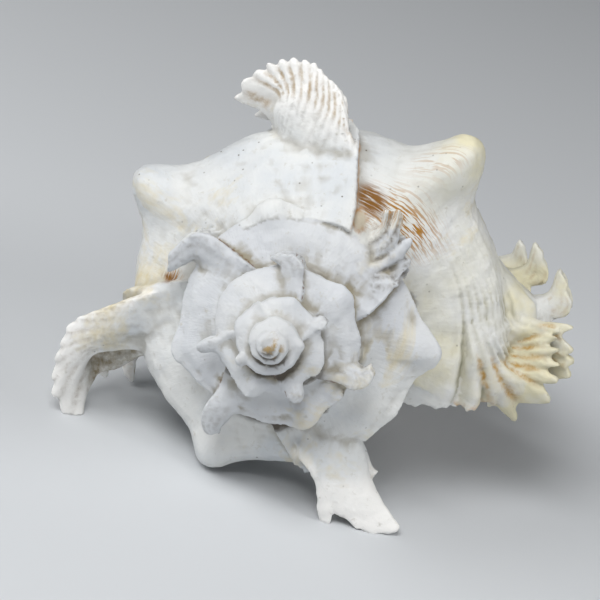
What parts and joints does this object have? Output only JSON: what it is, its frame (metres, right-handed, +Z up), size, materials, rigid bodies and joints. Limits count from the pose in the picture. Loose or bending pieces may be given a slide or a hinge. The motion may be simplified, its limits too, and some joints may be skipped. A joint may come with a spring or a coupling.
{
  "type": "ramose murex shell",
  "caption": "Large spined sea snail shell with stepped whorls, leafy curled fronds, blunt knobs, a flared fluted lip, an open mouth and a long bent canal, lying on its side.",
  "frame": {"origin": "centre of the resting box's footprint, on the surface that the shell lies on", "axes": "+Z up as it rests on its fronds and canal, apex towards -Y, canal towards +Y, outer lip towards +X"},
  "size_m": [0.1366, 0.2018, 0.1128],
  "materials": {
    "shell": "chalky weathered white outside, smooth and glossy inside the mouth"
  },
  "bodies": {
    "root": {"shell": "shell"}
  },
  "joints": []
}
